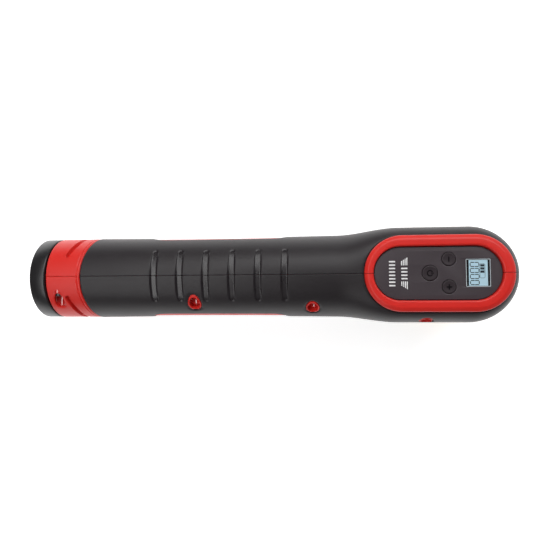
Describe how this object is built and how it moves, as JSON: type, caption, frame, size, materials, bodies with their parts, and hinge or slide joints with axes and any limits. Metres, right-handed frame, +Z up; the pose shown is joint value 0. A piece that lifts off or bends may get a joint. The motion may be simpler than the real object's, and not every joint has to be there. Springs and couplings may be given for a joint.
{
  "type": "cordless mini polisher",
  "caption": "Slim cordless polisher: round grip with finger grooves, rounded head with display and keys on its deck, foam pad below on a bevel drive, battery in the tail.",
  "frame": {"origin": "centre of the foam pad's working face, on the spindle axis", "axes": "+Z up along the spindle out of the display panel, +X to the nose of the head, grip along -X, seam of the housing in the plane Y = 0"},
  "size_m": [0.2935, 0.0574, 0.0855],
  "materials": {
    "red_shell": "satin glass-filled nylon",
    "soft_grip": "matt soft overmould",
    "panel_black": "satin black panel",
    "button_black": "satin",
    "lcd_clear": "clear lens",
    "lcd": "backlit display",
    "pcb": "solder mask",
    "switch_metal": "plated",
    "cable": "film",
    "alloy": "die cast",
    "steel": "ground",
    "gear_steel": "hardened",
    "bronze": "sintered bronze",
    "seal_rubber": "nitrile",
    "foam": "open-cell foam",
    "hook": "hook fastener",
    "hard_black": "moulded nylon",
    "zinc": "zinc plated",
    "ferrite": "sintered",
    "lamination": "laminated",
    "copper": "enamelled copper",
    "graphite": "carbon",
    "fan_white": "moulded",
    "wire_red": "insulated wire",
    "wire_black": "insulated wire",
    "cell_wrap": "shrink wrap",
    "nickel": "plated",
    "contact": "plated contact"
  },
  "bodies": {
    "housing": {"shell_left": "red_shell", "shell_right": "red_shell", "grip_left": "soft_grip", "grip_right": "soft_grip", "panel_plate": "panel_black", "lcd_window": "lcd_clear", "lcd_module": "lcd", "control_board": "pcb", "tact_switches": "switch_metal", "panel_screws": "zinc", "display_ribbon": "cable", "gearbox_housing": "alloy", "gearbox_cover": "alloy", "gearbox_screws": "zinc", "upper_bush": "bronze", "bearing_outer_race": "steel", "dust_seal": "seal_rubber", "motor_can": "zinc", "motor_end_bell": "hard_black", "motor_magnets": "ferrite", "motor_brushes": "graphite", "motor_front_bush": "bronze", "motor_rear_bush": "bronze", "motor_screws": "zinc", "motor_leads": "wire_red", "driver_board": "pcb", "terminal_block": "hard_black", "battery_leads": "wire_black", "pack_springs": "steel", "housing_screws": "zinc"},
    "spindle_assembly": {"spindle": "steel", "bevel_gear": "gear_steel", "bearing_inner_race": "steel", "bearing_balls": "steel", "circlip": "gear_steel", "backing_plate": "hard_black", "hook_disc": "hook", "polishing_pad": "foam"},
    "rotor": {"motor_shaft": "steel", "armature_core": "lamination", "armature_windings": "copper", "commutator": "copper", "cooling_fan": "fan_white", "pinion_gear": "gear_steel"},
    "power_key": {"button_power": "button_black"},
    "minus_key": {"button_minus": "button_black"},
    "plus_key": {"button_plus": "button_black"},
    "battery_pack": {"battery_case": "hard_black", "battery_end_cap": "hard_black", "battery_cells": "cell_wrap", "cell_straps": "nickel", "battery_board": "pcb", "pack_terminals": "contact", "pack_screws": "zinc"}
  },
  "joints": [
    {"name": "spindle_spin", "type": "hinge", "parent": "housing", "child": "spindle_assembly", "pos_m": [0, 0, 0.058], "axis": [0, 0, 1], "continuous": true},
    {"name": "rotor_spin", "type": "hinge", "parent": "housing", "child": "rotor", "pos_m": [0, 0, 0.058], "axis": [1, 0, 0], "continuous": true},
    {"name": "power_press", "type": "slide", "parent": "housing", "child": "power_key", "axis": [0, 0, -1], "range_m": [0, 0.0006], "stiffness_N_per_m": 1500, "springref_m": -0.0003},
    {"name": "minus_press", "type": "slide", "parent": "housing", "child": "minus_key", "axis": [0, 0, -1], "range_m": [0, 0.0006], "stiffness_N_per_m": 1500, "springref_m": -0.0003},
    {"name": "plus_press", "type": "slide", "parent": "housing", "child": "plus_key", "axis": [0, 0, -1], "range_m": [0, 0.0006], "stiffness_N_per_m": 1500, "springref_m": -0.0003},
    {"name": "battery_slide", "type": "slide", "parent": "housing", "child": "battery_pack", "axis": [-1, 0, 0], "range_m": [0, 0.145]}
  ],
  "couplings": [
    {"joint": "rotor_spin", "follows": "spindle_spin", "ratio": -3}
  ]
}
